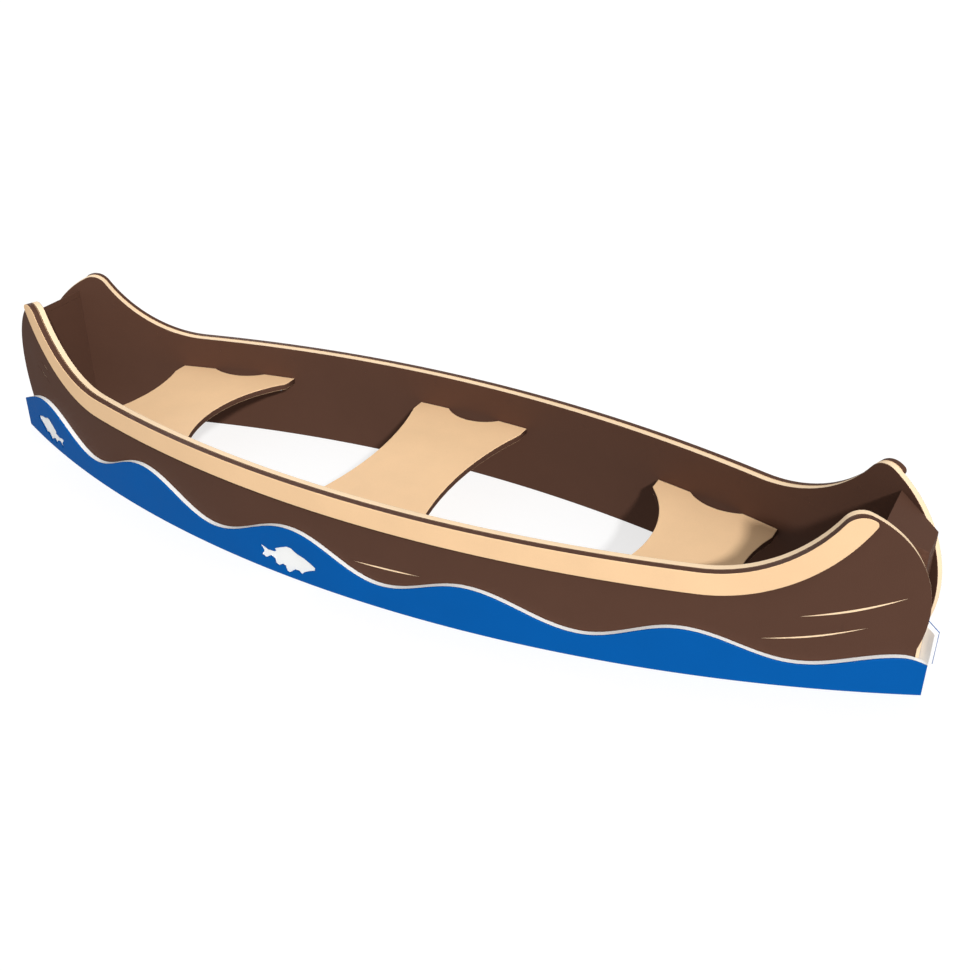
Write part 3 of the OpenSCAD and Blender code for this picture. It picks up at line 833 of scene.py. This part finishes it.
class CANOE_OT_seats(Operator):
    """Seats with scooped edges, straight corner tabs and a finger scallop at each end"""

    bl_idname = "canoe.seats"
    bl_label = "Seats"

    def execute(self, context):
        sizes = context.scene.canoe_sizes
        waist = sizes.middle_waist
        self.seat(context, "middle_seat", waist, waist, sizes.scallop_depth)
        for name in ("bow_seat", "stern_seat"):
            waists = sizes.inboard_waist, sizes.outboard_waist
            self.seat(context, name, *waists, sizes.end_scallop_depth)
        return {"FINISHED"}

    def seat(self, context, name, inboard, outboard, scallop):
        """One seat over its CAD node, from the depths of its two scoops and its scallops"""
        sizes = context.scene.canoe_sizes
        hull = Hull(sizes)
        low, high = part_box(name)
        wall = hull.inner - sizes.seat_gap
        mid, half = abs(low.x + high.x) / 2, (high.x - low.x) / 2
        near, far = mid - half, mid + half
        bm = bmesh.new()
        # The starboard half in plan, from the inboard edge to the outboard one, then mirrored
        centre = Vector((0, hull.offset))
        corner = {x: -hull.inner_half(x, sizes.seat_gap) for x in (near, far)}
        cut = (sizes.scallop_half**2 + scallop**2) / (2 * scallop)
        slope = math.asin(mid / hull.inner)
        way = Vector((math.sin(slope), -math.cos(slope)))
        scallop_centre = centre + (hull.inner - scallop + cut) * way
        gap = (scallop_centre - centre).length
        reach = math.acos((wall**2 + gap**2 - cut**2) / (2 * wall * gap))
        dip = math.acos((cut**2 + gap**2 - wall**2) / (2 * cut * gap))

        def scoop(inset, x):
            """Radius and half turn of the scoop in the long edge at x"""
            half_span = hull.inner_half(x) - sizes.tab
            radius = (half_span**2 + inset**2) / (2 * inset)
            begin = abs(corner[x]) - sizes.tab
            return radius, math.asin(begin / radius)

        radius, swing = scoop(inboard, near)
        inner_scoop = Vector((near - radius + inboard, 0))
        vert = start(bm, inner_scoop + Vector((radius, 0)))
        vert = arc_by(bm, vert, inner_scoop, -swing)
        vert = line_to(bm, vert, (near, corner[near]))
        at_near = math.asin(near / wall)
        vert = arc_by(bm, vert, centre, slope - reach - at_near, WALL_STEP)
        vert = arc_by(bm, vert, scallop_centre, -2 * dip, SMALL_STEP)
        at_far = math.asin(far / wall)
        vert = arc_by(bm, vert, centre, at_far - slope - reach, WALL_STEP)
        radius, swing = scoop(outboard, far)
        outer_scoop = Vector((far + radius - outboard, 0))
        edge = outer_scoop + radius * Vector((-math.cos(swing), -math.sin(swing)))
        vert = line_to(bm, vert, edge)
        arc_by(bm, vert, outer_scoop, -swing)
        mirror_outline(bm, "Y")
        close_outline(bm)
        if name == "stern_seat":
            bmesh.ops.transform(bm, matrix=HALF_TURN, verts=bm.verts[:])
        thicken(bm, sizes.sheet, sizes.arris)
        mark_cut_faces(bm)
        depth = depth_layer(bm)
        for vert in bm.verts:
            vert[depth] = -vert.co.z
        bmesh.ops.translate(bm, verts=bm.verts[:], vec=(0, 0, high.z))
        material = beige_sheet(context)
        finish_piece(bm, f"{name}_board", material, "beige_sheet", name)


class CANOE_OT_end_boxes(Operator):
    """Bulkhead, sloping deck and stem board of each end box"""

    bl_idname = "canoe.end_boxes"
    bl_label = "End boxes"

    def execute(self, context):
        for end_name, end in ENDS.items():
            for what in ("bulkhead", "deck", "stem_board"):
                self.board(context, end_name, end, what)
        return {"FINISHED"}

    def board(self, context, end_name, end, what):
        """One board over its CAD node, cut to the deck's slope"""
        sizes = context.scene.canoe_sizes
        hull = Hull(sizes)
        node = f"{end_name}_{what}"
        near, far = self.reach(node)
        bulkhead_near = self.reach(f"{end_name}_bulkhead")[0]
        stem_near = self.reach(f"{end_name}_stem_board")[0]
        deck_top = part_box(f"{end_name}_deck")[1].z
        # The deck slopes down outwards over the tops of the bulkhead and the stem board
        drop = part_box(f"{end_name}_bulkhead")[1].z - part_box(f"{end_name}_stem_board")[1].z
        tilt = math.atan2(drop, stem_near - bulkhead_near)
        up = Vector((math.sin(tilt), 0, math.cos(tilt)))
        over = Vector((bulkhead_near, 0, deck_top))
        under = over - up * sizes.sheet
        bm = bmesh.new()
        vert = start(bm, (near, -hull.inner_half(near)))
        turn = math.asin(far / hull.inner) - math.asin(near / hull.inner)
        arc_by(bm, vert, (0, hull.offset), turn, BOX_STEP)
        mirror_outline(bm, "Y")
        for pair in open_pairs(bm):
            bm.edges.new(pair)
        close_outline(bm)
        thicken(bm, sizes.crest, 0)
        bmesh.ops.translate(bm, verts=bm.verts[:], vec=(0, 0, sizes.crest))
        trim(bm, over if what == "deck" else under, up)
        if what == "deck":
            trim(bm, under, -up)
        # Corners sharper than this many radians are rounded, less than on the other sheets
        corner = 0.6
        joined = [edge for edge in bm.edges if len(edge.link_faces) == 2]
        sharp = [edge for edge in joined if edge.calc_face_angle() > corner]
        round_edges(bm, sharp, sizes.arris * 0.6)
        if end < 0:
            bmesh.ops.transform(bm, matrix=HALF_TURN, verts=bm.verts[:])
        cut = bm.faces.layers.float.new("cut")
        depth_layer(bm)
        # Faces smaller than 6 cm2 belong to the rounded arris
        small = 0.0006
        for face in bm.faces:
            face[cut] = ARRIS if face.calc_area() < small else SKIN
        material = brown_sheet(context, core=False)
        finish_piece(bm, f"{node}_sheet", material, "brown_sheet", node)

    def reach(self, node):
        """How far from the middle a node begins and ends."""
        return sorted(abs(corner.x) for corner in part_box(node))


def open_pairs(bm):
    """Pairs of loose ends that face each other across the middle line."""
    loose = [vert for vert in bm.verts if len(vert.link_edges) == 1]

    def facing(vert):
        """The loose end nearest to this one's mirror image"""
        image = Vector((vert.co.x, -vert.co.y, 0))
        return min(loose, key=lambda other: (other.co - image).length)

    return [(vert, facing(vert)) for vert in loose if vert.co.y > 0]


def trim(bm, point, normal):
    """Cuts away what lies beyond a plane, and closes the cut."""
    geom = bm.verts[:] + bm.edges[:] + bm.faces[:]
    made = bmesh.ops.bisect_plane(
        bm, geom=geom, plane_co=point, plane_no=normal, clear_outer=True
    )
    edges = [item for item in made["geom_cut"] if isinstance(item, bmesh.types.BMEdge)]
    bmesh.ops.contextual_create(bm, geom=edges)
    bmesh.ops.recalc_face_normals(bm, faces=bm.faces[:])
    bm.normal_update()


class CANOE_OT_fixings(Operator):
    """Finishes for the caps, cleats, brackets, anchors and screws"""

    bl_idname = "canoe.fixings"
    bl_label = "Fixings"

    def execute(self, context):
        colours = context.scene.canoe_colours
        zinc = zinc_plate("zinc_plated_steel", colours.zinc)
        brown = brown_sheet(context, core=False)
        for name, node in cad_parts.items():
            if node.hide_render:
                continue
            plastic = name.endswith(("_caps", "_cleats"))
            node.data.materials.clear()
            node.data.materials.append(brown if plastic else zinc)
        return {"FINISHED"}


class CANOE_OT_stage(Operator):
    """Plain pale floor, soft light and camera"""

    bl_idname = "canoe.stage"
    bl_label = "Stage"

    def execute(self, context):
        scene = context.scene
        stage = scene.canoe_stage
        paint = floor_paint("pale_floor_paint", scene.canoe_colours.floor)
        cloth = white_cloth("white_backdrop_cloth")
        floor_radius, backdrop_radius = 30, 31
        bm = bmesh.new()
        bmesh.ops.create_circle(bm, cap_ends=True, segments=64, radius=floor_radius)
        floor = bpy.data.objects.new("floor", mesh_of(bm, "floor"))
        bm = bmesh.new()
        bmesh.ops.create_uvsphere(bm, u_segments=48, v_segments=24, radius=backdrop_radius)
        backdrop = bpy.data.objects.new("backdrop", mesh_of(bm, "backdrop"))
        for item, material in ((floor, paint), (backdrop, cloth)):
            item.data.materials.append(material)
            scene.collection.objects.link(item)
            # The stage shows but throws no light back on the canoe
            item.visible_diffuse = False
            item.visible_glossy = False
            item.visible_shadow = False

        azimuth = stage.sun_azimuth
        self.sun(context, "sun", stage.sun, azimuth, stage.sun_height, stage.softness)
        # A weak low light from behind shows the far side in other views
        azimuth += math.pi
        self.sun(context, "fill", stage.fill, azimuth, stage.fill_height, stage.fill_softness)

        world = bpy.data.worlds.new("studio")
        world.use_nodes = True
        background = world.node_tree.nodes["Background"]
        background.inputs["Color"].default_value = (1, 1, 1, 1)
        background.inputs["Strength"].default_value = stage.sky
        scene.world = world
        scene.view_settings.view_transform = "Standard"

        camera = bpy.data.objects.new("camera", bpy.data.cameras.new("camera"))
        camera.data.lens = stage.lens
        camera.data.sensor_width = 36
        camera.data.clip_end = 100
        camera.location = stage.eye
        camera.rotation_euler = (math.pi / 2 - stage.pitch, 0, stage.azimuth)
        scene.collection.objects.link(camera)
        scene.camera = camera
        return {"FINISHED"}

    def sun(self, context, name, energy, azimuth, height, softness):
        """A distant light from a bearing and a height"""
        lamp = bpy.data.lights.new(name, "SUN")
        lamp.energy = energy
        lamp.angle = softness
        light = bpy.data.objects.new(name, lamp)
        light.rotation_euler = (math.pi / 2 - height, 0, azimuth + math.pi / 2)
        context.scene.collection.objects.link(light)


STEPS = (
    CANOE_OT_sides,
    CANOE_OT_rails,
    CANOE_OT_waves,
    CANOE_OT_seats,
    CANOE_OT_end_boxes,
    CANOE_OT_fixings,
    CANOE_OT_stage,
)


class CANOE_PT_panel(Panel):
    """Sizes, colours and steps"""

    bl_idname = "CANOE_PT_panel"
    bl_label = "Play canoe"
    bl_space_type = "VIEW_3D"
    bl_region_type = "UI"
    bl_category = "Canoe"

    def draw(self, context):
        layout = self.layout
        for name in GROUPS:
            group = getattr(context.scene, name)
            box = layout.box()
            for name in group.bl_rna.properties.keys():
                if name not in ("rna_type", "name"):
                    box.prop(group, name)
        for step in STEPS:
            layout.operator(step.bl_idname)


GROUPS = {"canoe_sizes": CanoeSizes, "canoe_colours": CanoeColours, "canoe_stage": CanoeStage}
CLASSES = (*GROUPS.values(), *STEPS, CANOE_PT_panel)


def register():
    for cls in CLASSES:
        bpy.utils.register_class(cls)
    for name, group in GROUPS.items():
        setattr(bpy.types.Scene, name, PointerProperty(type=group))


def unregister():
    for name in GROUPS:
        delattr(bpy.types.Scene, name)
    for cls in reversed(CLASSES):
        bpy.utils.unregister_class(cls)


def main():
    register()
    for step in STEPS:
        getattr(bpy.ops.canoe, step.bl_idname.removeprefix("canoe."))()


if __name__ == "__main__":
    main()
